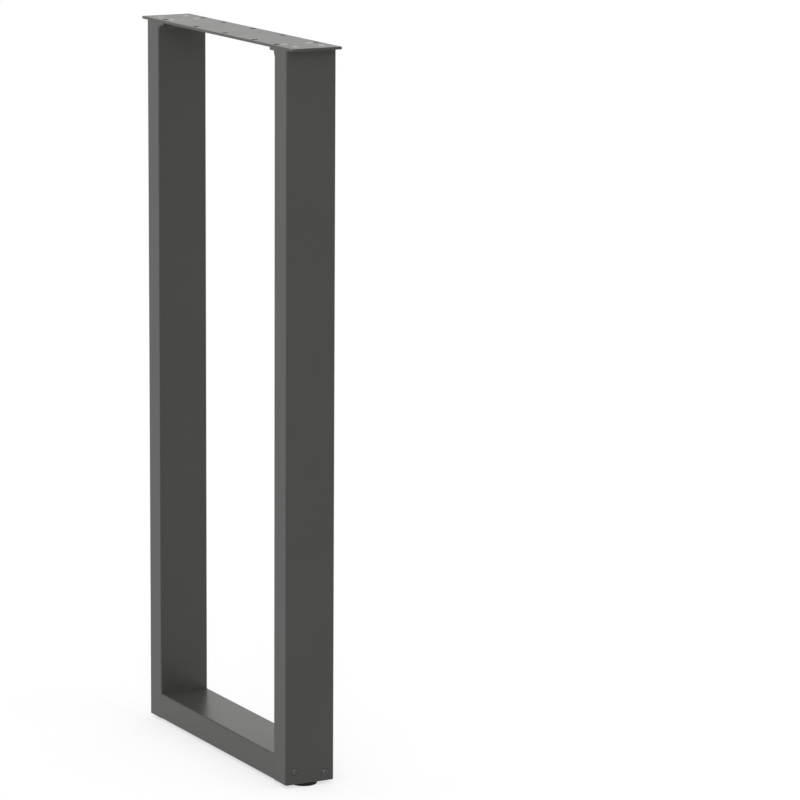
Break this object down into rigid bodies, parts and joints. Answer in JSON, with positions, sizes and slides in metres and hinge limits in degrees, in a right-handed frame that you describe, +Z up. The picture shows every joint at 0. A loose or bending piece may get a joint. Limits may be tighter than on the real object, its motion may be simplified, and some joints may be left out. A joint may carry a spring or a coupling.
{
  "type": "u shaped table leg",
  "caption": "U-shaped steel leg for a high table: upright rectangular tubes and a floor-level crossbar under a long drilled top plate, on levelling feet.",
  "frame": {"origin": "on the floor, midway between the two feet", "axes": "+X along the top plate, +Y from the front to the back of the tubes, +Z up"},
  "size_m": [0.5, 0.08, 1.1],
  "materials": {
    "powder_coat": "satin anthracite powder coat on steel",
    "zinc_steel": "bright zinc plated steel",
    "black_steel": "black coated steel screw",
    "black_plastic": "matt black moulded plastic"
  },
  "bodies": {
    "frame": {"top_plate": "powder_coat", "crossbar_tube": "powder_coat", "left_upright_tube": "powder_coat", "right_upright_tube": "powder_coat", "left_top_flange": "powder_coat", "right_top_flange": "powder_coat", "left_flange_weld": "powder_coat", "right_flange_weld": "powder_coat", "left_plate_screws": "zinc_steel", "right_plate_screws": "zinc_steel", "left_bar_end_plate": "powder_coat", "right_bar_end_plate": "powder_coat", "left_bar_screws": "black_steel", "right_bar_screws": "black_steel", "left_screw_sleeves": "zinc_steel", "right_screw_sleeves": "zinc_steel", "left_base_plate": "powder_coat", "right_base_plate": "powder_coat", "left_foot_nut": "zinc_steel", "right_foot_nut": "zinc_steel"},
    "left_foot": {"left_foot_stud": "zinc_steel", "left_foot_pad": "black_plastic"},
    "right_foot": {"right_foot_stud": "zinc_steel", "right_foot_pad": "black_plastic"}
  },
  "joints": [
    {"name": "left_foot_height", "type": "slide", "parent": "frame", "child": "left_foot", "axis": [0, 0, -1], "range_m": [0, 0.01]},
    {"name": "right_foot_height", "type": "slide", "parent": "frame", "child": "right_foot", "axis": [0, 0, -1], "range_m": [0, 0.01]}
  ]
}
